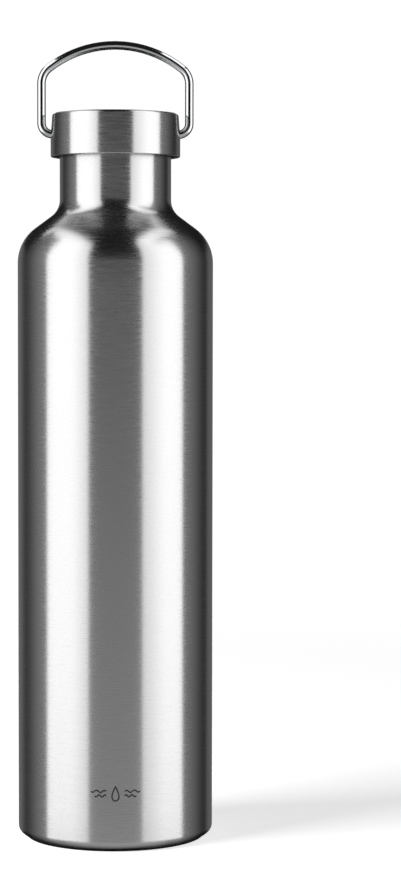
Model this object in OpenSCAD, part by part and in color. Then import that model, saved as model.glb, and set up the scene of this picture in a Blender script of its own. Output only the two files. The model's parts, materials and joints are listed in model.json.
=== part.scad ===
// Double-wall vacuum water bottle with a screw lid and a swinging wire bail.
// Millimetres, +Z up, origin on the floor at the centre of the base, bail pivots along X.

/* [Barrel] */
// Outside diameter of the barrel
barrel_d = 80; // [78:1:84]
// Height of the straight barrel's top edge above the floor
barrel_top = 235.9; // [180:1:260]
// Radius of the base corner
base_corner_r = 3.5; // [3:0.5:4.5]
// Thickness of the outer wall
shell_t = 0.4; // [0.4:0.1:0.6]
// Width of the vacuum gap between the two walls
vacuum_gap = 2.5; // [2:0.1:3]
// Thickness of the inner wall
liner_t = 0.3; // [0.3:0.1:0.5]

/* [Shoulder and neck] */
// Outside diameter of the neck
neck_d = 45.6; // [45:0.1:46]
// Turn of the shoulder away from the vertical, in degrees
shoulder_turn = 53.5; // [45:0.5:60]
// Radius of the rounded shoulder
shoulder_r = 17.5; // [14:0.5:18]
// Radius of the fillet where the shoulder meets the neck
neck_fillet_r = 8.4; // [6:0.2:9]
// Length of bare neck between the fillet and the lid
bare_neck = 17.4; // [15:0.2:20]

/* [Lid] */
// Outside diameter of the lid
lid_d = 53; // [53:0.5:58]
// Height of the lid
lid_h = 17.5; // [17:0.5:22]
// Radius of the half-round scoop around each bail hole
scoop_r = 9.5; // [8:0.5:10]
// Depth of each scoop at the top edge of the lid
scoop_depth = 0.7; // [0.4:0.1:0.8]

/* [Screw thread] */
// Rise of the lid in one turn
thread_pitch = 4; // [4:0.5:5]
// Turns of thread on the plug
plug_turns = 2; // [1.5:0.25:2.25]
// Turns of thread in the neck
neck_turns = 1.5; // [1:0.25:1.5]

/* [Bail] */
// Diameter of the bail wire
wire_d = 3.5; // [3:0.1:4]
// Outside width across the two legs
bail_w = 63.9; // [63:0.1:70]
// Height of the bail's outer edge above its pivots
bail_h = 38; // [37:0.5:44]
// Radius of the bail's arch, along the middle of the wire
arch_r = 44; // [42:0.5:50]
// Height of the pivots above the bottom edge of the lid
pivot_above_lid = 9.3; // [9:0.1:10.5]

/* [Hidden] */
$fn = 96;

steel = "#b9babc";
bright_steel = "#d4d5d8";
black_plastic = "#1b1b1c";
black_rubber = "#121213";
white_foam = "#ecece6";
copper = "#b87048";
solder_glass = "#5a6a58";
getter_grey = "#6f6c68";

gap = 0.05;         // hairline between fixed pieces that touch in life
arc_steps = 14;     // straight runs in each rounded stretch of a turned profile

// Heights of the base
foot_h = 1.0;
foot_in_r = 30;
pan_r = barrel_d / 2 - 6.2;
pan_top = 4.6;
pan_t = 0.5;
cover_t = 0.4;
cover_lift = 0.7;
cover_middle_r = 9;
cover_middle_h = 0.5;
port_r = 0.8;
dimple_r = 6;
dimple_h = 1.2;

// Getter cup, on the vacuum side of the pan
getter_x = 18;
getter_d = 10;
getter_h = 1.8;
getter_wall = 0.4;

// Barrel, shoulder and neck
barrel_r = barrel_d / 2;
neck_r = neck_d / 2;
steel_bottom = foot_h;
corner_z = steel_bottom + base_corner_r;
curl_in_r = pan_r + 0.2;
lid_bottom = neck_start(barrel_r, neck_r, barrel_top, shoulder_r, neck_fillet_r) + bare_neck;
lip_z = lid_bottom + 1.05;

// Liner: it runs a gap inside the shell, and closes up to it at the lip
liner_r = barrel_r - shell_t - vacuum_gap;
liner_neck_r = neck_r - shell_t - 1.3;   // leaves room for the rolled thread
liner_shoulder_r = shoulder_r - shell_t - vacuum_gap;
liner_fillet_r = neck_fillet_r + 1;
liner_top = barrel_top - 1.4;
liner_joint_z = 24;
liner_base_z = 8;
liner_base_corner = 12;
lip_flare_z = lip_z - 3.2;
flare_h = 1.4;

// Thread: the plug's ridge presses up against the neck's ridge. Each section is
// [radius at the root, radius at the crest, width at the root, width at the crest].
mouth_r = liner_neck_r - liner_t;
plug_r = mouth_r - 1.6;
plug_ridge = [plug_r - 0.2, plug_r + 1.3, 2.4, 1.0];
neck_ridge = [mouth_r + liner_t / 2, mouth_r - 1.2, 2.4, 1.2];
thread_play = 0.2;
thread_lag = thread_play + max([
  for (r = [plug_ridge[1], neck_ridge[1]]) (ridge_width(plug_ridge, r) + ridge_width(neck_ridge, r)) / 2
]);
plug_thread_z = lip_z - 13;
neck_thread_z = plug_thread_z + thread_lag;
thread_steps = 36;
thread_taper = 5;
thread_tip = 0.15;  // height that is left of a ridge at its two ends, as a share

// Lid
lid_r = lid_d / 2;
lid_top = lid_bottom + lid_h;
lid_edge_r = 0.9;
lid_t = 0.6;
hem_h = 1.4;
hem_in_r = lid_r - 1.1;
carrier_r = lid_r - lid_t - 0.1;
carrier_wall = 1.6;
flange_bottom = lid_bottom + 0.2;
flange_top = lid_bottom + 4.7;
groove_r = neck_r + 0.45;
groove_top = lip_z + 2.05;
plug_bottom = lip_z - 15.6;
plug_wall = 2;
carrier_top = lid_top - lid_t - gap;
carrier_hub_r = plug_r - 0.2;
scoop_z = lid_top - 1;
scoop_fade = 9.5;

// Bail
wire_r = wire_d / 2;
pivot_z = lid_bottom + pivot_above_lid;
leg_x = bail_w / 2 - wire_r;
bail_top = pivot_z + bail_h - wire_r;
arch_z = bail_top - arch_r;
elbow_r = 8;
foot_bend_r = 4.5;
elbow_x = leg_x - elbow_r;
elbow_z = arch_z + sqrt(pow(arch_r - elbow_r, 2) - pow(elbow_x, 2));
elbow_turn = atan2(elbow_x, elbow_z - arch_z);
pin_end_x = carrier_hub_r + 0.3;
bore_clear = 0.06;
boss_w = 8;
swell = 0.01;

// Points of an arc about [cx, cz], from angle a0 to angle a1
function arc(cx, cz, r, a0, a1) =
  [for (i = [0 : arc_steps]) let (a = a0 + (a1 - a0) * i / arc_steps) [cx + r * cos(a), cz + r * sin(a)]];

function reversed(points) = [for (i = [len(points) - 1 : -1 : 0]) points[i]];

// Height at which a shoulder ends and the straight neck starts
function neck_start(rb, rn, z, rs, rf) =
  z + (rs + rf) * sin(shoulder_turn)
  + (rb - rn - (rs + rf) * (1 - cos(shoulder_turn))) / tan(shoulder_turn);

// Shoulder curve from barrel radius rb at height z up to neck radius rn: round, straight, then hollow
function shoulder(rb, rn, z, rs, rf) =
  let (top = neck_start(rb, rn, z, rs, rf))
  concat(
    arc(rb - rs, z, rs, 0, shoulder_turn),
    arc(rn + rf, top, rf, 180 + shoulder_turn, 180)
  );

// Width of a thread ridge at radius r
function ridge_width(ridge, r) =
  ridge[2] + (ridge[3] - ridge[2]) * (r - ridge[0]) / (ridge[1] - ridge[0]);

// One closed helical ridge that starts at height z. Its ends taper away.
module helical_ridge(ridge, z, turns) {
  n = ceil(turns * thread_steps);
  root = ridge[0];
  outward = ridge[1] > root;
  points = [
    for (i = [0 : n])
      let (
        a = 360 * turns * i / n,
        mid = z + thread_pitch * turns * i / n,
        full = max(thread_tip, min(1, i / thread_taper, (n - i) / thread_taper)),
        crest = root + (ridge[1] - root) * full
      )
      for (p = [[root, -ridge[2]], [crest, -ridge[3]], [crest, ridge[3]], [root, ridge[2]]])
        [p[0] * cos(a), p[0] * sin(a), mid + p[1] / 2]
  ];
  faces = concat(
    [for (i = [0 : n - 1]) for (k = [0 : 3]) let (a = 4 * i + k, b = 4 * i + (k + 1) % 4)
      for (t = [[a, b, b + 4], [a, b + 4, a + 4]]) t],
    [[0, 2, 1], [0, 3, 2], [4 * n, 4 * n + 1, 4 * n + 2], [4 * n, 4 * n + 2, 4 * n + 3]]
  );
  polyhedron(points, outward ? faces : [for (t = faces) [t[0], t[2], t[1]]], convexity = 6);
}

module outer_shell() {
  color(steel)
    rotate_extrude()
      polygon(concat(
        [[curl_in_r, steel_bottom]],
        arc(barrel_r - base_corner_r, corner_z, base_corner_r, -90, 0),
        shoulder(barrel_r, neck_r, barrel_top, shoulder_r, neck_fillet_r),
        [[neck_r, lip_z - 0.2], [neck_r - 0.15, lip_z], [neck_r - shell_t, lip_z]],
        reversed(shoulder(barrel_r - shell_t, neck_r - shell_t, barrel_top,
                          shoulder_r - shell_t, neck_fillet_r + shell_t)),
        reversed(arc(barrel_r - base_corner_r, corner_z, base_corner_r - shell_t, -90, 0)),
        [[curl_in_r, steel_bottom + shell_t]]
      ));
}

// Structural pan, welded on the shell's curled edge. The port in its dimple is where the air was drawn out.
module outer_bottom() {
  flange_z = steel_bottom + shell_t + gap;
  color(steel)
    difference() {
      rotate_extrude()
        polygon([
          [0, pan_top - pan_t + dimple_h], [dimple_r - 1.5, pan_top - pan_t + dimple_h],
          [dimple_r, pan_top - pan_t], [pan_r - pan_t - 1, pan_top - pan_t],
          [pan_r - pan_t, pan_top - pan_t - 1], [pan_r - pan_t, flange_z],
          [pan_r + 2, flange_z], [pan_r + 2, flange_z + pan_t],
          [pan_r, flange_z + pan_t], [pan_r, pan_top - 1], [pan_r - 1, pan_top],
          [dimple_r + 0.3, pan_top], [dimple_r - 1.2, pan_top + dimple_h], [0, pan_top + dimple_h]
        ]);
      translate([0, 0, pan_top - pan_t])
        cylinder(r = port_r, h = 3);
    }
}

// Pressed plate that hides the port. Its middle stands clear of the floor.
module base_cover() {
  rim_r = pan_r - pan_t - 0.15;
  z = steel_bottom;
  lifted = z + cover_lift;
  middle = lifted + cover_middle_h;
  color(steel)
    rotate_extrude()
      polygon([
        [0, middle], [cover_middle_r, middle], [cover_middle_r + 1, lifted],
        [foot_in_r - 1.5, lifted], [foot_in_r - 0.5, z], [rim_r, z], [rim_r, z + cover_t],
        [foot_in_r - 0.4, z + cover_t], [foot_in_r - 1.4, lifted + cover_t],
        [cover_middle_r + 1.1, lifted + cover_t], [cover_middle_r + 0.1, middle + cover_t],
        [0, middle + cover_t]
      ]);
}

module foot_ring() {
  out_r = barrel_r - base_corner_r - 0.1;
  edge = 0.25;
  color(black_rubber)
    rotate_extrude()
      polygon([
        [foot_in_r + edge, 0], [out_r - edge, 0], [out_r, edge], [out_r, foot_h - gap / 2],
        [foot_in_r, foot_h - gap / 2], [foot_in_r, edge]
      ]);
}

// Bead of solder glass that closes the port from below
module vacuum_seal_bead() {
  z = pan_top - pan_t + dimple_h - gap / 2;
  color(solder_glass)
    rotate_extrude()
      polygon([[0, z - 0.9], [1.4, z - 0.75], [2.2, z - 0.35], [2.4, z], [0, z]]);
}

// Small steel cup on the vacuum side of the pan, with the getter pressed into it
module getter_cup() {
  translate([getter_x, 0, pan_top + gap / 2])
    color(bright_steel)
      difference() {
        cylinder(d = getter_d, h = getter_h);
        translate([0, 0, getter_wall])
          cylinder(d = getter_d - 2 * getter_wall, h = getter_h);
      }
}

module getter_pellet() {
  translate([getter_x, 0, pan_top + getter_wall + gap])
    color(getter_grey)
      cylinder(d = getter_d - 2 * getter_wall - 4 * gap, h = getter_h - getter_wall - 4 * gap);
}

// Inner wall from its bottom joint to the lip, with the neck's thread rolled into it
module inner_liner() {
  lip_r = neck_r - shell_t - gap;
  step = lip_r - liner_neck_r;
  color(bright_steel)
    union() {
      rotate_extrude()
        polygon(concat(
          [[liner_r, liner_joint_z]],
          shoulder(liner_r, liner_neck_r, liner_top, liner_shoulder_r, liner_fillet_r),
          [[liner_neck_r, lip_flare_z], [lip_r, lip_flare_z + flare_h], [lip_r, lip_z],
           [lip_r - liner_t + 0.1, lip_z], [lip_r - liner_t, lip_z - 0.1],
           [lip_r - liner_t, lip_flare_z + flare_h + 0.15],
           [lip_r - liner_t - step, lip_flare_z + 0.15]],
          reversed(shoulder(liner_r - liner_t, liner_neck_r - liner_t, liner_top,
                            liner_shoulder_r - liner_t, liner_fillet_r + liner_t)),
          [[liner_r - liner_t, liner_joint_z]]
        ));
      helical_ridge(neck_ridge, neck_thread_z, neck_turns);
    }
}

module liner_bottom() {
  r = liner_r;
  c = liner_base_corner;
  dome = 2.5;
  color(bright_steel)
    rotate_extrude()
      polygon(concat(
        [[0, liner_base_z + dome]],
        arc(r - c, liner_base_z + c, c, -90, 0),
        [[r, liner_joint_z - gap], [r - liner_t, liner_joint_z - gap]],
        reversed(arc(r - c, liner_base_z + c, c - liner_t, -90, 0)),
        [[0, liner_base_z + dome + liner_t]]
      ));
}

// Copper wrap that turns radiant heat back
module copper_foil() {
  foil_t = 0.12;
  color(copper)
    translate([0, 0, liner_joint_z + 2])
      difference() {
        cylinder(r = liner_r + gap + foil_t, h = liner_top - liner_joint_z - 6);
        translate([0, 0, -1])
          cylinder(r = liner_r + gap, h = liner_top - liner_joint_z);
      }
}

// What a half-round scoop on each side takes away. It is deepest at the top edge and fades out below.
// A larger inset moves the cut inwards and makes it wider, for the parts inside the lid's wall.
module scoops(inset) {
  for (side = [-1, 1])
    intersection() {
      translate([side * lid_r, 0, scoop_z])
        rotate([0, 90, 0])
          cylinder(r = scoop_r + inset, h = 12, center = true);
      difference() {
        translate([0, 0, scoop_z - scoop_r - 5])
          cylinder(r = lid_r + 5, h = scoop_r + 10);
        translate([0, 0, lid_top - scoop_fade - 10])
          cylinder(r = lid_r - inset, h = 10.01);
        translate([0, 0, lid_top - scoop_fade])
          cylinder(r1 = lid_r - inset, r2 = lid_r - inset - scoop_depth * (scoop_fade + 4) / scoop_fade,
                   h = scoop_fade + 4);
      }
    }
}

// Drawn steel cup with a scoop round each bail hole and a turned-in bottom hem
module lid_shell() {
  color(steel)
    difference() {
      rotate_extrude()
        polygon(concat(
          [[hem_in_r + 0.3, lid_bottom], [lid_r - 0.4, lid_bottom], [lid_r, lid_bottom + 0.4]],
          arc(lid_r - lid_edge_r, lid_top - lid_edge_r, lid_edge_r, 0, 90),
          [[0, lid_top], [0, lid_bottom + hem_h], [hem_in_r, lid_bottom + hem_h],
           [hem_in_r, lid_bottom + 0.3]]
        ));
      difference() {
        translate([0, 0, lid_bottom + hem_h])
          cylinder(r = lid_r - lid_t, h = lid_h - hem_h - lid_t);
        scoops(lid_t);
      }
      scoops(0);
      rotate([0, 90, 0])
        translate([-pivot_z, 0, 0])
          cylinder(r = wire_r + 0.3, h = 2 * lid_r + 10, center = true);
    }
}

// Moulded ring inside the lid shell. Its two bosses hold the ends of the bail.
module bail_carrier() {
  z = flange_top + gap;
  h = carrier_top - z;
  color(black_plastic)
    difference() {
      union() {
        difference() {
          translate([0, 0, z]) cylinder(r = carrier_r, h = h);
          translate([0, 0, z - 1]) cylinder(r = carrier_r - carrier_wall, h = h + 2);
        }
        difference() {
          translate([0, 0, z]) cylinder(r = carrier_hub_r, h = h);
          translate([0, 0, z - 1]) cylinder(r = carrier_hub_r - carrier_wall, h = h + 2);
        }
        for (a = [0 : 45 : 359])
          rotate([0, 0, a])
            translate([carrier_hub_r - 0.5, a % 180 == 0 ? -boss_w / 2 : -0.8, z])
              cube([carrier_r - carrier_wall - carrier_hub_r + 1, a % 180 == 0 ? boss_w : 1.6, h]);
      }
      scoops(lid_t + 0.1);
      for (side = [-1, 1])
        translate([side * (pin_end_x - 0.2), 0, pivot_z])
          rotate([0, 90 * side, 0])
            cylinder(r = wire_r + bore_clear, h = lid_r);
    }
}

// Hollow screw plug, closed at the bottom. Its flange closes the underside of the lid and holds the gasket.
module threaded_plug() {
  edge = 0.8;
  color(black_plastic)
    union() {
      rotate_extrude()
        polygon([
          [0, plug_bottom], [plug_r - edge, plug_bottom], [plug_r, plug_bottom + edge],
          [plug_r, groove_top], [groove_r, groove_top], [groove_r, flange_bottom],
          [hem_in_r - 0.1, flange_bottom], [hem_in_r - 0.1, lid_bottom + hem_h + 0.1],
          [carrier_r, lid_bottom + hem_h + 0.1], [carrier_r, flange_top],
          [plug_r - plug_wall, flange_top], [plug_r - plug_wall, plug_bottom + plug_wall],
          [0, plug_bottom + plug_wall]
        ]);
      helical_ridge(plug_ridge, plug_thread_z, plug_turns);
    }
}

module plug_foam() {
  r = plug_r - plug_wall - gap;
  z = plug_bottom + plug_wall + gap;
  color(white_foam)
    translate([0, 0, z])
      cylinder(r = r, h = carrier_top - z);
}

module lid_gasket() {
  edge = 0.3;
  in_r = plug_r + 0.15;
  out_r = groove_r - 0.3;
  z = lip_z + gap;
  top = groove_top - gap;
  color(black_rubber)
    rotate_extrude()
      polygon([
        [in_r + edge, z], [out_r - edge, z], [out_r, z + edge], [out_r, top - edge],
        [out_r - edge, top], [in_r + edge, top], [in_r, top - edge], [in_r, z + edge]
      ]);
}

// Part of a ring of wire in the XZ plane, from angle a0 to angle a1, measured up from +X
module wire_arc(cx, cz, r, a0, a1) {
  translate([cx, 0, cz])
    rotate([90, 0, 0])
      rotate([0, 0, a0])
        rotate_extrude(angle = a1 - a0)
          translate([r, 0]) circle(r = wire_r);
}

// One bent wire. A small swell at each change of bend makes the runs one piece.
module bail_handle() {
  color(bright_steel)
    union() {
      wire_arc(0, arch_z, arch_r, 90 - elbow_turn, 90 + elbow_turn);
      for (side = [0, 1])
        mirror([side, 0, 0]) {
          for (p = [
            [arch_r * sin(elbow_turn), arch_z + arch_r * cos(elbow_turn)], [leg_x, elbow_z],
            [leg_x, pivot_z + foot_bend_r], [leg_x - foot_bend_r, pivot_z]
          ])
            translate([p[0], 0, p[1]]) sphere(r = wire_r + swell);
          wire_arc(elbow_x, elbow_z, elbow_r, 0, 90 - elbow_turn);
          translate([leg_x, 0, pivot_z + foot_bend_r])
            cylinder(r = wire_r, h = elbow_z - pivot_z - foot_bend_r);
          wire_arc(leg_x - foot_bend_r, pivot_z + foot_bend_r, foot_bend_r, -90, 0);
          translate([pin_end_x, 0, pivot_z])
            rotate([0, 90, 0])
              cylinder(r = wire_r, h = leg_x - foot_bend_r - pin_end_x);
        }
    }
}

outer_shell();
outer_bottom();
base_cover();
foot_ring();
vacuum_seal_bead();
getter_cup();
getter_pellet();
inner_liner();
liner_bottom();
copper_foil();
lid_shell();
bail_carrier();
threaded_plug();
plug_foam();
lid_gasket();
bail_handle();
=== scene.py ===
# %% [markdown]
# # A brushed steel vacuum bottle
# The bottle is a double-walled stainless steel vessel with a screw lid and a wire bail. Almost every part
# of it was turned, drawn or bent, so almost every surface here is a short formula: a profile carried round
# an axis, or a circle carried along a path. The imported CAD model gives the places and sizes, and each piece
# made here takes the place of the plain CAD part that it names.

# %% Load the frame
import json
import math

import bpy
import numpy as np
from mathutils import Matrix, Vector


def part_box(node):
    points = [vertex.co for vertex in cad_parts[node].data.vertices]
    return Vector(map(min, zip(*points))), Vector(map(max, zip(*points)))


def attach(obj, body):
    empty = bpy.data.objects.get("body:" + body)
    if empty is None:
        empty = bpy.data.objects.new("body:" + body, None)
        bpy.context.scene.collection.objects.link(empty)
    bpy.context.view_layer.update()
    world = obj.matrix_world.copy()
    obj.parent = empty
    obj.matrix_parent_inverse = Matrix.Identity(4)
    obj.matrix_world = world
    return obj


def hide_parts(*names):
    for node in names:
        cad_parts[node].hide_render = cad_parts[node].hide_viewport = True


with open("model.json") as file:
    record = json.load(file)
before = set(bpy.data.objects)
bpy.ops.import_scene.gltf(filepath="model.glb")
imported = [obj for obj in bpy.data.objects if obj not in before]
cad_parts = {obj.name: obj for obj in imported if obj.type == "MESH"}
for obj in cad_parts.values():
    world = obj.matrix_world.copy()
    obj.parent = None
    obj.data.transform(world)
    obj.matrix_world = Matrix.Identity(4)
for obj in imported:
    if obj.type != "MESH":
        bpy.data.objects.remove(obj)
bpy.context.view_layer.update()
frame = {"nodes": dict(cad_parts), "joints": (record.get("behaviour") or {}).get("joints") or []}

# %% [markdown]
# ## Sizes
# The outline is worked out in millimetres, because that is how sheet metal is drawn, and turned to metres
# once, when a mesh is made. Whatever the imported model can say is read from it: the barrel's radius, the
# height of the lip, the lid's box and the pivot of the bail. The rest are the maker's own sizes: bend radii
# and sheet thicknesses, which no bounding box shows.

# %% Read the sizes that the frame knows
MM = 0.001


def box_mm(node):
    """The lowest and highest corner of a CAD node, in millimetres."""
    low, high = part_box(node)
    return np.array(low) / MM, np.array(high) / MM


shell_low, shell_high = box_mm("outer_shell")
lid_low, lid_high = box_mm("lid_shell")
plug_low, plug_high = box_mm("threaded_plug")
gasket_low, gasket_high = box_mm("lid_gasket")
cover_low, cover_high = box_mm("base_cover")
foot_high = box_mm("foot_ring")[1]
bail_high = box_mm("bail_handle")[1]
joints = {joint["name"]: joint for joint in frame["joints"]}

barrel_r = shell_high[0]
steel_bottom = shell_low[2]
lip_z = shell_high[2]
lid_r, lid_bottom, lid_top = lid_high[0], lid_low[2], lid_high[2]
pivot_z = joints["handle_swing"]["pos_m"][2] / MM
wire_r = bail_high[1]
leg_x = bail_high[0] - wire_r
bail_top = bail_high[2] - wire_r
print(f"barrel {2 * barrel_r:.1f} mm across, lip at {lip_z:.1f}")
print(f"lid {2 * lid_r:.1f} mm across, from {lid_bottom:.1f} to {lid_top:.1f}")
print(f"bail wire {2 * wire_r:.2f} mm, legs at {leg_x:.2f} from the axis, pivots at {pivot_z:.2f}")

# %% [markdown]
# ### Bends and sheets
# The shoulder is two bends with a short cone between them, so three numbers draw it: the radius of each bend
# and the angle that the cone leans by. The walls are thin sheet with a narrow vacuum between them.

# %% The maker's sizes, in millimetres
barrel_top = 235.9
base_corner_r = 3.5
neck_r = 22.8
shoulder_turn = math.radians(53.5)
shoulder_r = 17.5
neck_fillet_r = 8.4
shell_t = 0.4
vacuum_gap = 2.5
liner_t = 0.3
print(f"sheets of {shell_t} and {liner_t} mm with {vacuum_gap} mm of vacuum between them")

# %% [markdown]
# ## Surfaces as grids
# A turned part is a grid of points: rows follow the profile and columns go round the axis. Blender's Screw
# or Spin could do this, but a grid made by numpy can also be pushed in and out by a formula, which is how
# the threads and the scoops in the lid come about. One function turns any such grid into a closed mesh.

# %% From a grid to a mesh
def closed_mesh(name, grid, wrap_rows=False):
    """Faces between neighbouring points of a (rows, columns, 3) grid in mm, joined round the columns.

    A row whose points all meet, as at a pole, becomes one vertex. If the enclosed volume, which is a sixth
    of the sum of each triangle's triple product, comes out negative, every face is turned over.
    """
    rows, columns = grid.shape[:2]
    index = np.arange(rows * columns).reshape(rows, columns)
    poles = np.ptp(grid, axis=1).max(axis=1) < 1e-9
    index[poles] = index[poles][:, :1]
    below = index if wrap_rows else index[:-1]
    above = np.roll(index, -1, axis=0) if wrap_rows else index[1:]
    quads = np.stack([below, np.roll(below, -1, 1), np.roll(above, -1, 1), above], axis=-1).reshape(-1, 4)
    points = grid.reshape(-1, 3)
    a, b, c, d = (points[quads[:, k]] for k in range(4))
    volume = (np.cross(a, b) * c).sum() + (np.cross(a, c) * d).sum()
    if volume < 0:
        quads = quads[:, ::-1]
    used, quads = np.unique(quads, return_inverse=True)
    quads = quads.reshape(-1, 4)
    pole_first = quads[:, 0] == quads[:, 1]
    pole_last = quads[:, 2] == quads[:, 3]
    whole = quads[~(pole_first | pole_last)].tolist()
    faces = whole + quads[pole_first][:, 1:].tolist() + quads[pole_last][:, :3].tolist()
    mesh = bpy.data.meshes.new(name)
    mesh.from_pydata(points[used] * MM, [], faces)
    mesh.shade_smooth()
    piece = bpy.data.objects.new(name, mesh)
    bpy.context.scene.collection.objects.link(piece)
    print(f"{name}: {len(used)} points, {len(faces)} faces")
    return piece


def finish_piece(piece, material, body, slot, *replaced):
    """Gives a piece its material and its body, and hides the CAD nodes that it stands for. The slot is not
    used.
    """
    piece.data.materials.append(material)
    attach(piece, body)
    if replaced:
        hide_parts(*replaced)


# %% [markdown]
# ## Profiles with round corners
# A sheet metal profile is straight runs joined by bends. So a profile is written as its corners, each with
# a bend radius, and one function puts in the arcs. An arc of radius R that turns by an angle t starts R
# tan(t/2) before its corner, which is the only formula needed. Bevel could round the corners of a turned
# mesh too, but then each radius would be chosen by picking edges.

# %% From corners to a profile
ARC_STEP = math.radians(5)


def bent(corners):
    """The points of an open outline through corners (r, z, bend radius). No radius is a sharp corner."""
    points = np.array([corner[:2] for corner in corners], float)
    out = [points[:1]]
    for k in range(1, len(corners) - 1):
        radius = corners[k][2] if len(corners[k]) > 2 else 0
        before, after = points[k] - points[k - 1], points[k + 1] - points[k]
        before, after = before / np.linalg.norm(before), after / np.linalg.norm(after)
        side = before[0] * after[1] - before[1] * after[0]
        turn = math.atan2(side, before @ after)
        if not radius or abs(turn) < 1e-6:
            out.append(points[k : k + 1])
            continue
        normal = np.array([-before[1], before[0]]) * np.sign(turn)
        start = points[k] - before * radius * math.tan(abs(turn) / 2)
        centre = start + normal * radius
        steps = max(3, math.ceil(abs(turn) / ARC_STEP))
        a = np.linspace(0, abs(turn), steps + 1)[:, None]
        out.append(centre - normal * radius * np.cos(a) + before * radius * np.sin(a))
    out.append(points[-1:])
    return np.concatenate(out)


def close_rows(profile, longest, low, high):
    """Splits the runs of a profile between the heights low and high, so none is longer than longest."""
    out = []
    for p, q in zip(profile[:-1], profile[1:]):
        inside = low <= (p[1] + q[1]) / 2 <= high
        n = max(1, math.ceil(np.linalg.norm(q - p) / longest)) if inside else 1
        out.append(p + (q - p) * np.linspace(0, 1, n, endpoint=False)[:, None])
    return np.concatenate(out + [profile[-1:]])


# %% [markdown]
# ### Turning a profile
# Once a profile has its points, every turned part is made the same way: each point goes round the axis, here
# in 192 steps, which is fine enough for the barrel's edge to look round.

# %% From a profile to a turned grid
ROUND = np.linspace(0, 2 * math.pi, 192, endpoint=False)


def turned_grid(profile, angles):
    """Each profile point (r, z) carried round Z: x = r cos a, y = r sin a, z = z."""
    r, z = profile[:, 0, None], profile[:, 1, None]
    return np.stack([r * np.cos(angles), r * np.sin(angles), z + 0 * angles], axis=-1)


# %% [markdown]
# ## Materials
# Every material is a few shader nodes. One function adds a node with its settings and its links, and one
# turns a colour picked on a screen, which is sRGB, to the linear light that a shader works in.

# %% Helpers for nodes and colours
def linear(colour):
    """sRGB hex to linear: a channel c over 0.04045 is ((c + 0.055) / 1.055) ** 2.4, and c / 12.92 below."""
    c = np.array([int(colour[k : k + 2], 16) for k in (1, 3, 5)]) / 255
    return (*np.where(c > 0.04045, ((c + 0.055) / 1.055) ** 2.4, c / 12.92), 1.0)


def add(tree, kind, settings=None, links=None):
    """Adds a node. A setting names an input or a property, a link names an input and the output it takes."""
    node = tree.nodes.new(kind)
    for name, value in (settings or {}).items():
        if isinstance(name, str) and hasattr(node, name):
            setattr(node, name, value)
        else:
            node.inputs[name].default_value = value
    for name, output in (links or {}).items():
        tree.links.new(output, node.inputs[name])
    return node


def new_material(name):
    """An empty material, and its node tree."""
    material = bpy.data.materials.new(name)
    material.use_nodes = True
    material.node_tree.nodes.clear()
    return material, material.node_tree


def finish_material(tree, shader):
    """Links a shader to a new output node."""
    add(tree, "ShaderNodeOutputMaterial", links={"Surface": shader.outputs[0]})


def uneven(tree, colour, swing, noise):
    """A colour that a noise makes darker and lighter by a share, swing, of itself."""
    base = np.array(linear(colour))[:3]
    shades = {"data_type": "RGBA", 6: (*base * (1 - swing), 1), 7: (*base * (1 + swing), 1)}
    return add(tree, "ShaderNodeMix", shades, {0: noise.outputs["Fac"]}).outputs[2]


# %% [markdown]
# ### Brushed stainless steel
# The wall is stainless steel sheet, and after forming it is spun against an abrasive belt. The belt leaves
# fine grooves that run round the bottle. Grooves scatter light across themselves and hardly along
# themselves, so a lamp's reflection is drawn out into a tall band up the barrel and stays sharp sideways.
# That is anisotropy, and a tangent that circles the Z axis tells the shader which way the grooves run.
#
# The grooves themselves are a noise that is squeezed along the profile and stretched round the bottle.
# Along the profile it reads z - r, which keeps changing on the barrel, on the shoulder and on a flat end
# alike. It moves the roughness and, by a tenth, the colour, which to the eye is a satin of fine level
# lines. A real groove is about 0.05 mm wide, too fine to show, so they are drawn 0.4 mm wide.

# %% Brushed and drawn stainless steel
GROOVE_WIDTH = 0.4 * MM
GROOVE_LENGTH = 8 * MM
GROOVE_DEPTH = 0.002 * MM
GROOVE_ROUGHNESS = 0.06


def around_the_axis(tree, across, along):
    """Coordinates that change by one in `across` metres up the profile and `along` metres round the axis."""
    place = add(tree, "ShaderNodeTexCoord").outputs["Object"]
    xyz = add(tree, "ShaderNodeSeparateXYZ", links={0: place})
    x, y, z = xyz.outputs["X"], xyz.outputs["Y"], xyz.outputs["Z"]
    flat = add(tree, "ShaderNodeCombineXYZ", links={"X": x, "Y": y})
    radius = add(tree, "ShaderNodeVectorMath", {"operation": "LENGTH"}, {0: flat.outputs[0]})
    up = add(tree, "ShaderNodeMath", {"operation": "SUBTRACT"}, {0: z, 1: radius.outputs["Value"]})
    raised = add(tree, "ShaderNodeCombineXYZ", links={"X": x, "Y": y, "Z": up.outputs[0]})
    scale = (1 / along, 1 / along, 1 / across)
    return add(tree, "ShaderNodeMapping", {"Scale": scale}, {"Vector": raised.outputs[0]}).outputs[0]


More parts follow.
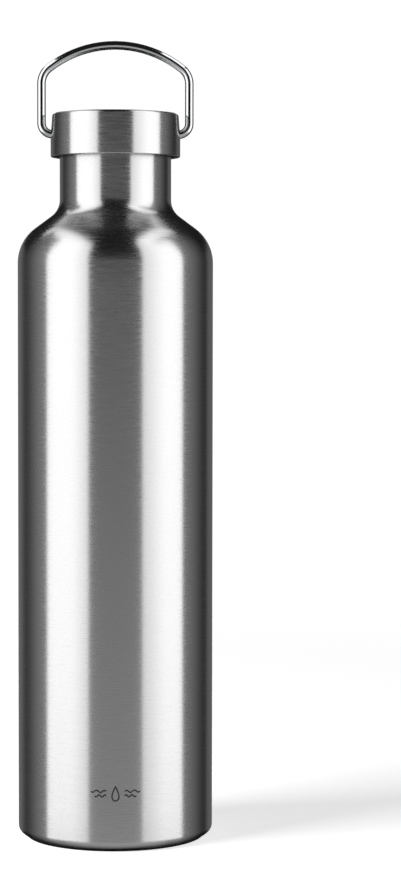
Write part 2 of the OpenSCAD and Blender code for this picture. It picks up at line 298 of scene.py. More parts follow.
def brushed_steel(name, colour, roughness, anisotropy, swing):
    """Steel with grooves round the Z axis. Swing is how far the grooves move the colour, as a share."""
    material, tree = new_material(name)
    grooves = add(
        tree, "ShaderNodeTexNoise", {"Scale": 1.0, "Detail": 2.0, "Roughness": 0.6},
        {"Vector": around_the_axis(tree, GROOVE_WIDTH, GROOVE_LENGTH)},
    )
    rough = add(
        tree, "ShaderNodeMapRange",
        {
            "From Min": 0.25, "From Max": 0.75,
            "To Min": roughness - GROOVE_ROUGHNESS, "To Max": roughness + GROOVE_ROUGHNESS,
        },
        {"Value": grooves.outputs["Fac"]},
    )
    bump = add(
        tree, "ShaderNodeBump", {"Strength": 0.5, "Distance": GROOVE_DEPTH},
        {"Height": grooves.outputs["Fac"]},
    )
    tangent = add(tree, "ShaderNodeTangent", {"direction_type": "RADIAL", "axis": "Z"})
    shader = add(
        tree, "ShaderNodeBsdfPrincipled",
        {"Metallic": 1.0, "Anisotropic": anisotropy, "Anisotropic Rotation": 0.25},
        {
            "Base Color": uneven(tree, colour, swing, grooves), "Roughness": rough.outputs[0],
            "Normal": bump.outputs[0], "Tangent": tangent.outputs[0],
        },
    )
    finish_material(tree, shader)
    return material


# The outside is brushed bright. The inside is left as drawn: duller, and with hardly any direction.
wall_steel = brushed_steel("brushed_stainless_steel", "#cbcbcb", 0.25, 0.85, 0.1)
drawn_steel = brushed_steel("drawn_stainless_steel", "#bdbec0", 0.34, 0.4, 0.03)
print("steels:", wall_steel.name, drawn_steel.name)

# %% [markdown]
# ### Polished wire
# The bail is stainless wire, polished after bending, so it mirrors the studio almost cleanly: to the eye it
# is thin black and white lines along the wire. Handling leaves faint smears, a few millimetres wide, which
# only move the roughness a little.

# %% Polished wire
SMEAR = 6 * MM


def polished_steel():
    """Polished stainless steel whose roughness wanders between 0.06 and 0.12."""
    material, tree = new_material("polished_stainless_wire")
    place = add(tree, "ShaderNodeTexCoord").outputs["Object"]
    smears = add(tree, "ShaderNodeTexNoise", {"Scale": 1 / SMEAR, "Detail": 2.0}, {"Vector": place})
    rough = add(
        tree, "ShaderNodeMapRange", {"To Min": 0.06, "To Max": 0.12}, {"Value": smears.outputs["Fac"]}
    )
    shader = add(
        tree, "ShaderNodeBsdfPrincipled", {"Base Color": linear("#d8d9db"), "Metallic": 1.0},
        {"Roughness": rough.outputs[0]},
    )
    finish_material(tree, shader)
    return material


wire_steel = polished_steel()
print("wire:", wire_steel.name)

# %% [markdown]
# ### Plastics, rubber and the hidden materials
# The black parts of the lid are moulded polypropylene and silicone. Both come out of a mould that was spark
# eroded, so they have a fine, even grain that blurs highlights, and the eye sees a flat, soft black. The
# hidden parts get simple, honest finishes: wrinkled copper foil, sintered getter powder, closed-cell foam
# and a bead of solder glass. The mark is steel that a laser has oxidised, dark and dull beside the bright
# wall.

# %% Grained materials
def grained(name, colour, roughness, grain, depth, **shader_settings):
    """A solid colour with an even grain: `grain` and `depth` are the size and height of its bumps in mm."""
    material, tree = new_material(name)
    place = add(tree, "ShaderNodeTexCoord").outputs["Object"]
    noise = add(tree, "ShaderNodeTexNoise", {"Scale": 1 / (grain * MM), "Detail": 2.0}, {"Vector": place})
    bump = add(
        tree, "ShaderNodeBump", {"Strength": 1.0, "Distance": depth * MM}, {"Height": noise.outputs["Fac"]}
    )
    settings = {"Roughness": roughness}
    settings.update({key.replace("_", " "): value for key, value in shader_settings.items()})
    shader = add(
        tree, "ShaderNodeBsdfPrincipled", settings,
        {"Base Color": uneven(tree, colour, 0.1, noise), "Normal": bump.outputs[0]},
    )
    finish_material(tree, shader)
    return material


black_plastic = grained("moulded_polypropylene", "#101011", 0.45, 0.4, 0.01, Specular_IOR_Level=0.3)
# Near black and dull: on the foot ring this black also paints the contact shadow under the base.
black_silicone = grained("moulded_silicone", "#080808", 0.7, 0.3, 0.01, Specular_IOR_Level=0.15)
copper_foil = grained("copper_foil", "#c77b58", 0.22, 3.0, 0.15, Metallic=1.0)
getter_powder = grained("sintered_getter", "#6b6763", 0.8, 0.25, 0.08)
white_foam = grained("closed_cell_foam", "#ecebe4", 0.85, 0.7, 0.15)
solder_glass = grained("solder_glass", "#4d5c4a", 0.15, 2.0, 0.02, IOR=1.6)
etched_oxide = grained("laser_marked_oxide", "#1d1d1f", 0.55, 0.3, 0.005, Metallic=0.2)
print(len(bpy.data.materials), "materials so far")

# %% [markdown]
# ## The outer wall
# One sheet, drawn and spun: a straight barrel, a round bend of the shoulder, a short cone, a hollow fillet
# and the neck. The same two corners, shifted inwards by the sheet's thickness, give the inside of the
# sheet, because parallel bends share their centres. Solidify could give the thickness too, but the lip and
# the curled lower edge have bends of their own.

# %% Outer wall
def shoulder(barrel, neck, top, bend, fillet):
    """The two corners between a barrel and its neck. The run between them leans by shoulder_turn."""
    neck_start = (
        top
        + (bend + fillet) * math.sin(shoulder_turn)
        + (barrel - neck - (bend + fillet) * (1 - math.cos(shoulder_turn))) / math.tan(shoulder_turn)
    )
    half = math.tan(shoulder_turn / 2)
    return [(barrel, top + bend * half, bend), (neck, neck_start - fillet * half, fillet)]


wall_in_r = barrel_r - shell_t
neck_in_r = neck_r - shell_t
cover_room = 0.8
curl_r = cover_high[0] + cover_room
outside = [
    (curl_r, steel_bottom),
    (barrel_r, steel_bottom, base_corner_r),
    *shoulder(barrel_r, neck_r, barrel_top, shoulder_r, neck_fillet_r),
    (neck_r, lip_z, 0.15),
    (neck_in_r, lip_z, 0.1),
]
inside = [
    *reversed(shoulder(wall_in_r, neck_in_r, barrel_top, shoulder_r - shell_t, neck_fillet_r + shell_t)),
    (wall_in_r, steel_bottom + shell_t, base_corner_r - shell_t),
    (curl_r, steel_bottom + shell_t, 0.1),
    (curl_r, steel_bottom),
]
wall_profile = close_rows(bent(outside + inside), 12, 0, lip_z)[:-1]
outer_wall = closed_mesh("outer_wall", turned_grid(wall_profile, ROUND), wrap_rows=True)
finish_piece(outer_wall, wall_steel, "bottle", "brushed_steel_wall", "outer_shell")

# %% [markdown]
# ## Threads
# A thread is a ridge that climbs by one pitch in one turn. On a turned grid it is only a number added to
# the radius: measure how far a point's height is from the nearest turn of the helix, and let the ridge
# stand up where that distance is small. The neck's thread is rolled into its sheet, so both faces of the
# sheet move, and the plug's thread is moulded on. The usual way, a small profile swept along a helix, needs
# a Boolean to join it to its cylinder.

# %% The helix as a height above the cylinder
thread_pitch = 4.0
thread_taper = 0.14


def ridge(angles, heights, start, turns, root_width, crest_width):
    """0 off the thread and 1 on its crest.

    The nearest turn's centre is start + pitch * t, where t = angle / full turn + a whole number. The height
    falls in a soft flank from half the crest's width to half the root's width, and fades over thread_taper
    turns at both ends.
    """
    part = angles / (2 * math.pi)
    t = part + np.round((heights - start) / thread_pitch - part)
    away = np.abs(heights - start - thread_pitch * t)
    flank = np.clip((root_width / 2 - away) / ((root_width - crest_width) / 2), 0, 1)
    ends = np.clip(t / thread_taper, 0, 1) * np.clip((turns - t) / thread_taper, 0, 1)
    rise = flank * ends
    return rise * rise * (3 - 2 * rise)


def ridge_width(r, root, crest, root_width, crest_width):
    """A ridge's width at radius r, in proportion between its root and its crest."""
    return root_width + (crest_width - root_width) * (r - root) / (crest - root)


# %% [markdown]
# The plug's ridge has to press up against the neck's ridge without cutting into it. So the neck's ridge
# starts higher, by half of both widths where they overlap and a little play.

# %% The two ridges: radius at the root and the crest, width at the root and the crest
liner_neck_r = neck_in_r - 1.3
mouth_r = liner_neck_r - liner_t
plug_r = mouth_r - 1.6
neck_ridge_h = 1.2
plug_ridge_h = 1.3
neck_ridge = (mouth_r, mouth_r - neck_ridge_h, 2.3, 1.2)
plug_ridge = (plug_r, plug_r + plug_ridge_h, 2.3, 1.0)
neck_turns = 1.5
plug_turns = 2.0
thread_play = 0.2
plug_thread_z = lip_z - 13
thread_lag = thread_play + max(
    (ridge_width(r, *plug_ridge) + ridge_width(r, *neck_ridge)) / 2 for r in (plug_ridge[1], neck_ridge[1])
)
print(f"the neck's thread lies {thread_lag:.2f} mm above the plug's thread")

# %% [markdown]
# ## The inner wall
# The vessel that holds the water is a second drawn sheet. It stays one vacuum gap inside the outer wall,
# and under the lip it flares out until the two meet, where they are welded. Its rolled thread is pushed
# inwards on both faces alike, so the sheet keeps its thickness.

# %% Inner wall with its rolled thread
thread_row_h = 0.25
liner_r = wall_in_r - vacuum_gap
lip_r = neck_in_r - 0.05
flare_z = lip_z - 3.2
liner_joint_z = 24.0
thread_rows_from, thread_rows_to = 262, flare_z - 0.6
liner_top = barrel_top - 1.4
liner_bend_r = shoulder_r - shell_t - vacuum_gap
liner_fillet_r = neck_fillet_r + 1
liner_outside = [
    (liner_r, liner_joint_z),
    *shoulder(liner_r, liner_neck_r, liner_top, liner_bend_r, liner_fillet_r),
    (liner_neck_r, flare_z, 1.0),
    (lip_r, flare_z + 1.4, 0.6),
    (lip_r, lip_z),
]
liner_inside = [
    (lip_r - liner_t, lip_z),
    (lip_r - liner_t, flare_z + 1.55, 0.9),
    (mouth_r, flare_z + 0.15, 0.7),
    *reversed(shoulder(
        liner_r - liner_t, mouth_r, liner_top, liner_bend_r - liner_t, liner_fillet_r + liner_t
    )),
    (liner_r - liner_t, liner_joint_z),
    (liner_r, liner_joint_z),
]
liner_profile = bent(liner_outside + liner_inside)
liner_profile = close_rows(liner_profile, thread_row_h, thread_rows_from, thread_rows_to)[:-1]
profile_r, profile_z = liner_profile[:, 0, None], liner_profile[:, 1, None]
rolled = ridge(ROUND[None], profile_z, plug_thread_z + thread_lag, neck_turns, *neck_ridge[2:])
in_neck = profile_r < liner_neck_r + 0.01
liner_grid = turned_grid(liner_profile, ROUND)
liner_grid[..., :2] *= (1 - neck_ridge_h * rolled * in_neck / profile_r)[..., None]
inner_wall = closed_mesh("inner_wall", liner_grid, wrap_rows=True)
finish_piece(inner_wall, drawn_steel, "bottle", "plain_steel", "inner_liner")

# %% [markdown]
# ## The foot ring
# The bottle stands on a silicone ring that is moulded with three fine grooves, which let water out from under
# it and give it grip. The grooves are more corners in its profile. The ring is made near black and dull so
# that it also paints the dark contact shade along the bottle's foot, a painted shadow that the glowing floor
# doesn't give.

# %% Foot ring
foot_out, foot_in, foot_top = foot_high[0], 30.0, foot_high[2]
tread_depth = 0.35
mouth_half, floor_half = 0.45, 0.25
tread = [
    corner
    for g in foot_in + (foot_out - foot_in) * np.array([0.3, 0.5, 0.7])
    for corner in [
        (g - mouth_half, 0.0, 0.15), (g - floor_half, tread_depth, 0.1),
        (g + floor_half, tread_depth, 0.1), (g + mouth_half, 0.0, 0.15),
    ]
]
ring_profile = bent([
    (foot_in + 1, foot_top), (foot_in, foot_top, 0.1), (foot_in, 0.0, 0.3), *tread,
    (foot_out, 0.0, 0.15), (foot_out, foot_top, 0.1), (foot_in + 1, foot_top),
])[:-1]
# The ring's black is partly the silicone's own colour and partly painted contact shade under the base.
foot = closed_mesh("foot_ring_silicone_and_contact_shade", turned_grid(ring_profile, ROUND), wrap_rows=True)
finish_piece(foot, black_silicone, "bottle", "black_silicone", "foot_ring")

# %% [markdown]
# ## The base cover
# A thin pressed plate hides the sealed port under the bottle, and two pressed steps raise its middle. It is
# turned like the walls, but its first and last points lie on the axis, where they become poles.

# %% Base cover
cover_t = 0.4
cover_r, rim_z = cover_high[0], cover_low[2]
shelf_z, dish_z = rim_z + 0.7, rim_z + 1.2
dish_r = 9.0
cover_profile = bent([
    (0, dish_z), (dish_r, dish_z, 0.8), (dish_r + 1, shelf_z, 0.8), (foot_in - 1.5, shelf_z, 0.6),
    (foot_in - 0.5, rim_z, 0.6), (cover_r, rim_z, 0.1), (cover_r, rim_z + cover_t, 0.1),
    (foot_in - 0.4, rim_z + cover_t, 0.4), (foot_in - 1.4, shelf_z + cover_t, 0.4),
    (dish_r + 1.1, shelf_z + cover_t, 0.4), (dish_r + 0.1, dish_z + cover_t, 0.4), (0, dish_z + cover_t),
])
cover_profile = close_rows(cover_profile, 3, 0, 10)
base_plate = closed_mesh("base_plate", turned_grid(cover_profile, ROUND))
finish_piece(base_plate, wall_steel, "bottle", "brushed_steel_wall", "base_cover")

# %% [markdown]
# ## The lid
# The lid is a drawn steel cup with a hem turned in at its lower edge. Where the bail swings, its wall is
# pressed in by a half-round scoop, deepest at the top edge and fading out at the pivot. The scoop is again
# a number taken off the radius: a depth that grows with height, inside a circle, with a narrow soft edge
# where the sheet bends. Columns are set closer together near the scoops, so that this edge is drawn
# cleanly.

# %% Lid cup
lid_t = 0.6
lid_edge_r = 0.9
hem_r = lid_r - 1.1
hem_h = 1.4
scoop_r = 9.5
scoop_depth = 0.7
scoop_z = lid_top - 1
scoop_fade = 9.5
scoop_edge = 0.55
scoop_row_h = 0.3
wall_band, wall_blend = 4, 1.5


def scoop(grid):
    """Moves wall points inwards by depth x share of height x edge. The edge goes from 1 to 0 at the circle.

    Points more than wall_band inside the lid's wall stay where they are.
    """
    r = np.hypot(grid[..., 0], grid[..., 1])
    across = np.abs(grid[..., 1])
    up = grid[..., 2] - scoop_z
    from_edge = scoop_r - np.hypot(across, np.minimum(up, 0))
    share = np.clip((grid[..., 2] - (lid_top - scoop_fade)) / scoop_fade, 0, 1)
    edge = np.clip(from_edge / scoop_edge + 0.5, 0, 1)
    near_wall = np.clip((r - (lid_r - wall_band)) / wall_blend, 0, 1)
    depth = scoop_depth * share * edge * edge * (3 - 2 * edge) * near_wall
    out = grid.copy()
    out[..., :2] *= (1 - depth / np.maximum(r, 1))[..., None]
    return out


scoop_half = 0.42  # half of the angle with close columns, in radians
fine = np.linspace(-scoop_half, scoop_half, 113)
coarse = np.linspace(scoop_half, math.pi - scoop_half, 57)[1:-1]
lid_angles = np.concatenate([fine, coarse, fine + math.pi, coarse + math.pi])
lid_profile = bent([
    (0, lid_top), (lid_r, lid_top, lid_edge_r), (lid_r, lid_bottom, 0.5), (hem_r, lid_bottom, 0.35),
    (hem_r, lid_bottom + hem_h, 0.2), (lid_r - lid_t, lid_bottom + hem_h, 0.1),
    (lid_r - lid_t, lid_top - lid_t, 0.5), (0, lid_top - lid_t),
])
lid_profile = close_rows(lid_profile, scoop_row_h, lid_top - scoop_fade - 2, lid_top - lid_edge_r - 0.05)
lid_cup = closed_mesh("lid_cup", scoop(turned_grid(lid_profile, lid_angles)))

# %% [markdown]
# The bail's ends pass through a round hole on each side, which is punched after the scoop is pressed. That
# is one cylinder taken away with a Boolean. Its edges are then marked sharp, so that the soft shading of
# the wall stops at them.

# %% Punch the holes
hole_clearance = 0.3


def pierced(piece, reach, z, radius):
    """Cuts a round hole along X through both sides of the lid, and applies the modifier."""
    bpy.ops.mesh.primitive_cylinder_add(
        vertices=64, radius=radius * MM, depth=2 * reach * MM, location=(0, 0, z * MM),
        rotation=(0, math.pi / 2, 0),
    )
    punch = bpy.context.object
    cut = piece.modifiers.new("hole", "BOOLEAN")
    cut.operation, cut.object, cut.solver = "DIFFERENCE", punch, "EXACT"
    done = bpy.data.meshes.new_from_object(piece.evaluated_get(bpy.context.evaluated_depsgraph_get()))
    piece.modifiers.clear()
    piece.data = done
    bpy.data.objects.remove(punch)
    done.shade_smooth()
    done.set_sharp_from_angle(angle=math.radians(35))
    print(f"{piece.name}: {len(done.polygons)} faces with its holes")


pierced(lid_cup, lid_r + 5, pivot_z, wire_r + hole_clearance)
lid_cup.data.name = "lid_cup"
finish_piece(lid_cup, wall_steel, "lid", "brushed_steel_wall", "lid_shell")

# %% [markdown]
# ## The screw plug
# The black plug is moulded in one with a flange that closes the lid from below. Its profile runs from the
# dished bottom up the threaded wall, out along the gasket's seat and the flange, and back down the inside.
# Only points on the threaded wall are lifted by the ridge.

# %% Screw plug and its flange
flange_bottom = lid_bottom + 0.2
flange_top = plug_high[2]
flange_r = hem_r - 0.1
ledge_z = lid_bottom + hem_h + 0.1
seat_r = neck_r + 0.45
seat_top = gasket_high[2] + 0.05
plug_bottom = plug_low[2]
carrier_r = plug_high[0]
hollow_r = plug_r - 2
plug_dish_z = plug_bottom + 1.2
plug_floor_z = plug_dish_z + 0.85
plug_profile = bent([
    (0, plug_dish_z), (plug_r - 4.5, plug_dish_z, 1.5), (plug_r - 3, plug_bottom, 1.5),
    (plug_r, plug_bottom, 0.9), (plug_r, seat_top, 0.2), (seat_r, seat_top, 0.2),
    (seat_r, flange_bottom, 0.3), (flange_r, flange_bottom, 0.2), (flange_r, ledge_z, 0.1),
    (carrier_r, ledge_z, 0.1), (carrier_r, flange_top, 0.1), (hollow_r, flange_top, 0.1),
    (hollow_r, plug_floor_z, 0.1), (0, plug_floor_z),
])
plug_profile = close_rows(plug_profile, thread_row_h, plug_thread_z - 1.6, lip_z - 2)
profile_r, profile_z = plug_profile[:, 0, None], plug_profile[:, 1, None]
moulded = ridge(ROUND[None], profile_z, plug_thread_z, plug_turns, *plug_ridge[2:])
on_thread = np.abs(profile_r - plug_r) < 0.01
plug_grid = turned_grid(plug_profile, ROUND)
plug_grid[..., :2] *= (1 + plug_ridge_h * moulded * on_thread / plug_r)[..., None]
plug = closed_mesh("screw_plug", plug_grid)
finish_piece(plug, black_plastic, "lid", "black_plastic", "threaded_plug")

# %% [markdown]
# ## The gasket
# A silicone ring in the flange's seat presses on the lip and keeps the water in. It is a rounded rectangle
# turned round the axis. It has a body of its own, which rises with the lid and doesn't turn.

# %% Gasket
gasket_in, gasket_out = plug_r + 0.15, gasket_high[0]
gasket_round = 0.5
g_low, g_high = gasket_low[2], gasket_high[2]
gasket_profile = bent([
    (gasket_in + 1, g_low), (gasket_out, g_low, gasket_round), (gasket_out, g_high, gasket_round),
    (gasket_in, g_high, gasket_round), (gasket_in, g_low, gasket_round), (gasket_in + 1, g_low),
])[:-1]
gasket = closed_mesh("gasket_ring", turned_grid(gasket_profile, ROUND), wrap_rows=True)
finish_piece(gasket, black_silicone, "gasket", "black_silicone", "lid_gasket")

# %% [markdown]
# ## The etched mark
# A laser darkens the steel low on the front: a drop between two pairs of waves. The lines are drawn flat,
# as distance along the wall and height, and then bent round the barrel. Each is a ribbon with a low rounded
# top, which stands a few hundredths of a millimetre proud so that it covers the steel under it. A mask in
# the steel's material could do it too, but then the mark would be no piece that can be left out.

# %% Etched lines
mark_z = 24.0
line_w = 0.55
line_h = 0.03
section_across = np.array([-0.5, -0.3, 0, 0.3, 0.5, 0])
section_proud = np.array([0, 0.8, 1, 0.8, 0, -1])


def etched_line(name, flat, closed):
    """A ribbon along flat points (u, z): x = r sin(u / R), y = -r cos(u / R).

    R is the wall's radius, and r is R plus the height of the section, a low hump with one point under the
    wall. The ribbon's sides are square to the mean of the directions before and after a point, and the two
    ends of an open line are drawn to a point.
    """
    ahead, behind = np.roll(flat, -1, axis=0) - flat, flat - np.roll(flat, 1, axis=0)
    if not closed:
        ahead[-1], behind[0] = behind[-1], ahead[0]
    along = ahead / np.linalg.norm(ahead, axis=1)[:, None] + behind / np.linalg.norm(behind, axis=1)[:, None]
    along /= np.linalg.norm(along, axis=1)[:, None]
    side = np.stack([-along[:, 1], along[:, 0]], axis=-1)
    width = np.ones((len(flat), 1))
    if not closed:
        width[[0, -1]] = 0
    across = section_across * line_w
    u = flat[:, :1] + side[:, :1] * across * width
    z = flat[:, 1:] + side[:, 1:] * across * width
    r = barrel_r + section_proud * line_h * width
    grid = np.stack([r * np.sin(u / barrel_r), -r * np.cos(u / barrel_r), mark_z + z], axis=-1)
    return closed_mesh(name, grid, wrap_rows=closed)


# %% [markdown]
# The drop is a circle whose width shrinks towards the top: across = w sin a (sin a/2) ** 1.3, up = h cos a.
# A wave is two periods of a sine that starts beside the drop and runs outwards.

# %% Drop and waves
drop_w, drop_h = 1.9, 2.9
wave_start = 3.6
wave_h = 0.42
turn = np.linspace(0, 2 * math.pi, 64, endpoint=False)
drop = np.stack([drop_w * np.sin(turn) * np.sin(turn / 2) ** 1.3, drop_h * np.cos(turn)], axis=-1)
finish_piece(etched_line("etched_drop", drop, True), etched_oxide, "bottle", "brushed_steel_wall")
wave = np.linspace(0, 1, 41)
for side_name, side in (("left", -1), ("right", 1)):
    for row_name, z, length in (("high", 0.9, 6.4), ("low", -0.9, 4.8)):
        up = z + wave_h * np.sin(4 * math.pi * wave)
        line = np.stack([side * (wave_start + length * wave), up], axis=-1)
        piece = etched_line(f"etched_wave_{side_name}_{row_name}", line, False)
        finish_piece(piece, etched_oxide, "bottle", "brushed_steel_wall")

# %% [markdown]
# ## The bail
# One wire: a pin, a tight bend, a straight leg, an elbow, a long arch, and the same again on the other
# side. It is made as a circle carried along that path. The path lies in one plane, so at each point the
# circle is drawn on two directions: Y, and the one in the plane that is square to the path. Curves with a
# round bevel would look the same, but then the ends and the spacing of the rings are Blender's choice.

# %% The bail's path
foot_bend_r = 4.5
elbow_r = 8.0
arch_r = 44.0
cap_share = 0.3
pin_end_x = plug_r + 0.1


def arc(centre, radius, start, stop):
    """Points (x, z) on a circle, about every 4 degrees from angle start to stop, in radians."""
    steps = max(4, math.ceil(abs(stop - start) / math.radians(4)))
    a = np.linspace(start, stop, steps + 1)
    return np.stack([centre[0] + radius * np.cos(a), centre[1] + radius * np.sin(a)], axis=-1)


arch_z = bail_top - arch_r
elbow_x = leg_x - elbow_r
elbow_z = arch_z + math.sqrt((arch_r - elbow_r) ** 2 - elbow_x**2)
elbow_angle = math.atan2(elbow_z - arch_z, elbow_x)
half_path = np.concatenate([
    [[pin_end_x + wire_r * cap_share, pivot_z]],
    arc((leg_x - foot_bend_r, pivot_z + foot_bend_r), foot_bend_r, -math.pi / 2, 0),
    arc((elbow_x, elbow_z), elbow_r, 0, elbow_angle),
    arc((0, arch_z), arch_r, elbow_angle, math.pi / 2)[1:],
])
path = np.concatenate([half_path, half_path[-2::-1] * [-1, 1]])
wire_length = np.linalg.norm(np.diff(path, axis=0), axis=1).sum()
print(f"bail: {wire_length:.0f} mm of wire")

# %% [markdown]
# ### The wire on its path
# The wire's end is rounded off by a few smaller rings, as a file would leave it, and closed by a pole. Every
# other ring has the full radius, so the wire keeps one thickness through the bends.

# %% Bail wire
def swept(name, path, radius, columns=40):
    """A circle carried along a path of (x, z) points: point + radius (cos a * normal + sin a * Y).

    The tangent at a point is the mean of the directions on its two sides, and the normal is the tangent
    turned by a quarter. Two smaller rings and a pole round off each end, along cap_share of a radius.
    """
    step = np.diff(path, axis=0)
    step /= np.linalg.norm(step, axis=1)[:, None]
    tangent = np.concatenate([step[:1], step[:-1] + step[1:], step[-1:]])
    tangent /= np.linalg.norm(tangent, axis=1)[:, None]
    cap = np.radians([90, 60, 30])
    cap_along = np.sin(cap)[:, None] * cap_share * radius
    cap_r = np.cos(cap).round(9)
    centres = np.concatenate([
        path[0] - cap_along * tangent[0], path, path[-1] + cap_along[::-1] * tangent[-1],
    ])
    tangents = np.concatenate([np.repeat(tangent[:1], 3, 0), tangent, np.repeat(tangent[-1:], 3, 0)])
    radii = radius * np.concatenate([cap_r, np.ones(len(path)), cap_r[::-1]])
    a = np.linspace(0, 2 * math.pi, columns, endpoint=False)
    across = radii[:, None] * np.cos(a)
    x = centres[:, :1] - tangents[:, 1:] * across
    z = centres[:, 1:] + tangents[:, :1] * across
    y = radii[:, None] * np.sin(a)
    return closed_mesh(name, np.stack([x, y, z], axis=-1))


finish_piece(swept("bail_wire", path, wire_r), wire_steel, "handle", "polished_steel", "bail_handle")

# %% [markdown]
# ## The CAD parts that stay
# The parts inside, and the two that only show through a gap, have the right shape already. They keep it,
# and only their material slots change.

# %% Materials for the CAD parts that stay
kept = {
    "outer_bottom": drawn_steel, "getter_cup": drawn_steel, "liner_bottom": drawn_steel,
    "vacuum_seal_bead": solder_glass, "getter_pellet": getter_powder, "copper_foil": copper_foil,
    "bail_carrier": black_plastic, "plug_foam": white_foam,
}
for node_name, material in kept.items():
    node_object = frame["nodes"][node_name]
    node_object.data.materials.clear()
    node_object.data.materials.append(material)
print("finishes given to", ", ".join(kept))

# %% [markdown]
# ## Studio
# A cylinder of brushed metal shows the room as upright bands. Two tall softboxes stand left and right of
# the camera, bent round the bottle, and two more lie overhead for the shoulder. The walls beside and behind
# them are nearly dark. That gives the two bright bands, the dark stripe between them and the dark edges.
# The sheets of light are seen by reflections only, so they neither show nor light the floor.

# %% A sheet of light
def glowing_sheet(name, grid, near, far, rise=1.0):
    """A sheet of light through a (rows, columns, 3) grid in metres. Its UV map's u runs along the columns.

    Its strength goes smoothly from `near` at u = 0 to `far` at u = rise.
    """
    rows, columns = grid.shape[:2]
    u, v = np.meshgrid(np.linspace(0, 1, columns), np.linspace(0, 1, rows))
    index = np.arange(rows * columns).reshape(rows, columns)
    corners = [index[:-1, :-1], index[:-1, 1:], index[1:, 1:], index[1:, :-1]]
    quads = np.stack(corners, axis=-1).reshape(-1, 4)
    mesh = bpy.data.meshes.new(name)
    mesh.from_pydata(grid.reshape(-1, 3), [], quads.tolist())
    layer = mesh.uv_layers.new(name="UVMap")
    layer.data.foreach_set("uv", np.stack([u, v], -1).reshape(-1, 2)[quads.ravel()].ravel())
    material, tree = new_material(name)
    place = add(tree, "ShaderNodeTexCoord").outputs["UV"]
    axes = add(tree, "ShaderNodeSeparateXYZ", links={0: place})
    glow = add(
        tree, "ShaderNodeMapRange",
        {"interpolation_type": "SMOOTHSTEP", "From Max": rise, "To Min": near, "To Max": far},
        {"Value": axes.outputs["X"]},
    )
    finish_material(tree, add(tree, "ShaderNodeEmission", links={"Strength": glow.outputs[0]}))
    mesh.materials.append(material)
    sheet = bpy.data.objects.new(name, mesh)
    bpy.context.scene.collection.objects.link(sheet)
    sheet.visible_camera = False
    sheet.visible_diffuse = False
    sheet.visible_shadow = False
    print(f"{name}: light of {near} to {far}")


def upright(start, stop, top, radius=0.95):
    """A grid on a cylinder round the bottle, between two angles in degrees from the front, positive right."""
    a, z = np.meshgrid(np.radians(np.linspace(start, stop, 25)), np.linspace(cellar, top, 9))
    return np.stack([radius * np.sin(a), -radius * np.cos(a), z], axis=-1)


def overhead(inner, outer, front, back):
    """A level grid at the ceiling. Its columns run from the front to the back."""
    y, x = np.meshgrid(np.linspace(front, back, 25), np.linspace(inner, outer, 9))
    return np.stack([x, y, ceiling + 0 * x], axis=-1)


# %% [markdown]
# ### Where the lights stand
# The two tall softboxes aren't mirror images: the left one reaches a little further round, and each gets
# brighter away from the camera. The ones overhead have different sizes too, so the shoulder's two highlights
# differ, as they do in a real studio.

# %% Softboxes and walls, in degrees and metres
ceiling = 1.2
cellar = -0.3
back_top = 0.42
box_left, box_right = 86.5, 84.5
wall_end = 130
glowing_sheet("softbox_left", upright(-31, -box_left, ceiling), 1.35, 1.75, 0.4)
glowing_sheet("softbox_right", upright(31, box_right, ceiling), 1.25, 1.75, 0.6)
glowing_sheet("overhead_left", overhead(-0.55, -1.15, -0.75, 0.95), 1.8, 1.4)
glowing_sheet("overhead_right", overhead(0.40, 0.75, -0.75, 0.55), 1.8, 1.3)
glowing_sheet("wall_left", upright(-box_left, -wall_end, ceiling), 0.30, 0.06)
glowing_sheet("wall_right", upright(box_right, wall_end, ceiling), 0.26, 0.04)
glowing_sheet("back_left", upright(-wall_end, -171, back_top), 0.06, 0.16, 0.5)
glowing_sheet("back_right", upright(wall_end, 171, back_top), 0.04, 0.14, 0.3)

# %% [markdown]
# ## Floor
# The floor is pale card that runs out into the white backdrop. It glows a little, so that only the bottle's
# shadow stands out, and it turns clear between two radii, so that it has no edge. The steel doesn't mirror
# it: the world gives the light that comes up from the floor instead, where it can be set by direction.

# %% Floor
floor_reach = 1.2
fade_start, fade_stop = 0.45, 0.85
floor_glow = 0.74
floor_white = (0.8, 0.8, 0.8, 1)


def floor_sheet():
    """A square sheet at z = 0 that takes shadows and fades out with the distance from the bottle."""
    mesh = bpy.data.meshes.new("floor")
    corners = np.array([(-1, -1, 0), (1, -1, 0), (1, 1, 0), (-1, 1, 0)]) * floor_reach
    mesh.from_pydata(corners, [], [(0, 1, 2, 3)])
    material, tree = new_material("pale_floor")
    place = add(tree, "ShaderNodeTexCoord").outputs["Object"]
    radius = add(tree, "ShaderNodeVectorMath", {"operation": "LENGTH"}, {0: place})
    fade = add(
        tree, "ShaderNodeMapRange",
        {"interpolation_type": "SMOOTHSTEP", "From Min": fade_start, "From Max": fade_stop},
        {"Value": radius.outputs["Value"]},
    )
    diffuse = add(tree, "ShaderNodeBsdfDiffuse", {"Color": floor_white})
    emission = add(tree, "ShaderNodeEmission", {"Strength": floor_glow})
    lit = add(tree, "ShaderNodeAddShader", links={0: diffuse.outputs[0], 1: emission.outputs[0]})
    clear = add(tree, "ShaderNodeBsdfTransparent")
    links = {0: fade.outputs[0], 1: lit.outputs[0], 2: clear.outputs[0]}
    finish_material(tree, add(tree, "ShaderNodeMixShader", links=links))
    mesh.materials.append(material)
    sheet = bpy.data.objects.new("floor", mesh)
    bpy.context.scene.collection.objects.link(sheet)
    sheet.visible_glossy = False


floor_sheet()
print(f"floor fades out from {fade_start} to {fade_stop} m")

# %% [markdown]
# ## Key light
# One soft square lamp, high on the left and a little in front, throws the long pale shadow back to the
# right. The steel doesn't mirror it, because the softboxes already give every highlight.

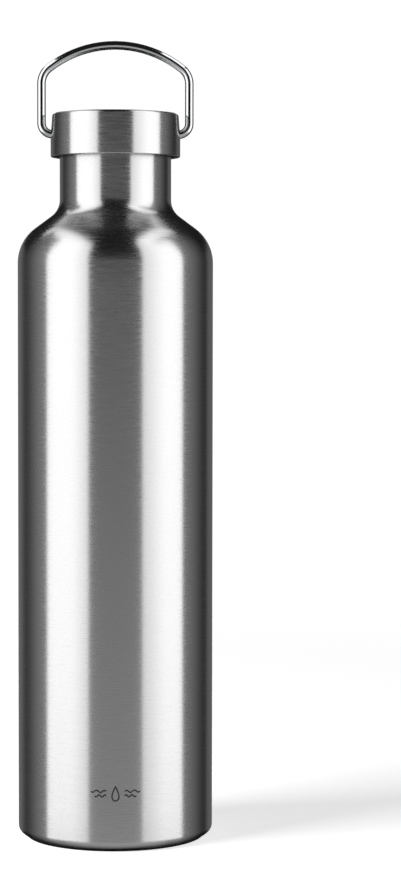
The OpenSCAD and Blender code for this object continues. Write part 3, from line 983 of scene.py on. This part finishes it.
# %% Key light
key_size = 0.9
key_power = 30
key_target = Vector((0, 0, 0.1))
key_data = bpy.data.lights.new("key", "AREA")
key_data.size = key_size
key_data.energy = key_power
key = bpy.data.objects.new("key", key_data)
key.location = (-1.31, -0.73, 1.05)
key.rotation_mode = "QUATERNION"
key.rotation_quaternion = (key_target - key.location).to_track_quat("-Z", "Y")
key.visible_glossy = False
key.visible_camera = False
bpy.context.scene.collection.objects.link(key)
print(f"key light {(key_target - key.location).length:.2f} m away")

# %% [markdown]
# ## World
# The camera sees plain white behind the bottle. Everything else sees a dark room over a pale floor: nearly
# black above the horizon, and below it a grey that is brightest in front and almost black at the back. The
# further a point of the wall lies below the camera, the more of that grey it mirrors, so the dark stripe
# gets lighter towards the base.

# %% World
backdrop = 1.02
room_dark = 0.012
floor_front, floor_back = 0.46, 0.01
world = bpy.data.worlds.new("studio")
world.use_nodes = True
tree = world.node_tree
tree.nodes.clear()
direction = add(tree, "ShaderNodeTexCoord").outputs["Generated"]
heading = add(tree, "ShaderNodeSeparateXYZ", links={0: direction})
low = add(
    tree, "ShaderNodeMapRange",
    {"From Min": -0.5, "From Max": 0.6, "To Min": floor_front, "To Max": floor_back},
    {"Value": heading.outputs["Y"]},
)
room = add(
    tree, "ShaderNodeMapRange",
    {"interpolation_type": "SMOOTHSTEP", "From Min": -0.14, "From Max": 0.03, "To Max": room_dark},
    {"Value": heading.outputs["Z"], "To Min": low.outputs[0]},
)
to_camera = add(tree, "ShaderNodeLightPath").outputs["Is Camera Ray"]
shade = add(tree, "ShaderNodeMapRange", {"To Max": backdrop}, {"Value": to_camera, "To Min": room.outputs[0]})
sky = add(tree, "ShaderNodeBackground", {"Color": (1, 1, 1, 1)}, {"Strength": shade.outputs[0]})
add(tree, "ShaderNodeOutputWorld", links={"Surface": sky.outputs[0]})
bpy.context.scene.world = world
bpy.context.scene.view_settings.view_transform = "Standard"
print(f"backdrop {backdrop}, room {room_dark}, floor from {floor_back} to {floor_front}")

# %% [markdown]
# ## Camera
# A long lens from a metre away, so that the barrel's sides stay nearly parallel. It stands lower than the
# lid and looks down by three degrees, so it sees a little of the lid's underside and of the base's front
# edge.

# %% Camera
camera_distance = 1.042
camera_height = 0.2143
look_down, turn_right, roll = 2.96, 1.92, -0.1
camera_data = bpy.data.cameras.new("camera")
camera_data.lens = 102
camera_data.sensor_width = 36
camera = bpy.data.objects.new("camera", camera_data)
camera.location = (0, -camera_distance, camera_height)
camera.rotation_euler = np.radians((90 - look_down, roll, -turn_right))
bpy.context.scene.collection.objects.link(camera)
bpy.context.scene.camera = camera
print(f"camera {camera_distance} m in front, {camera_height} m up")
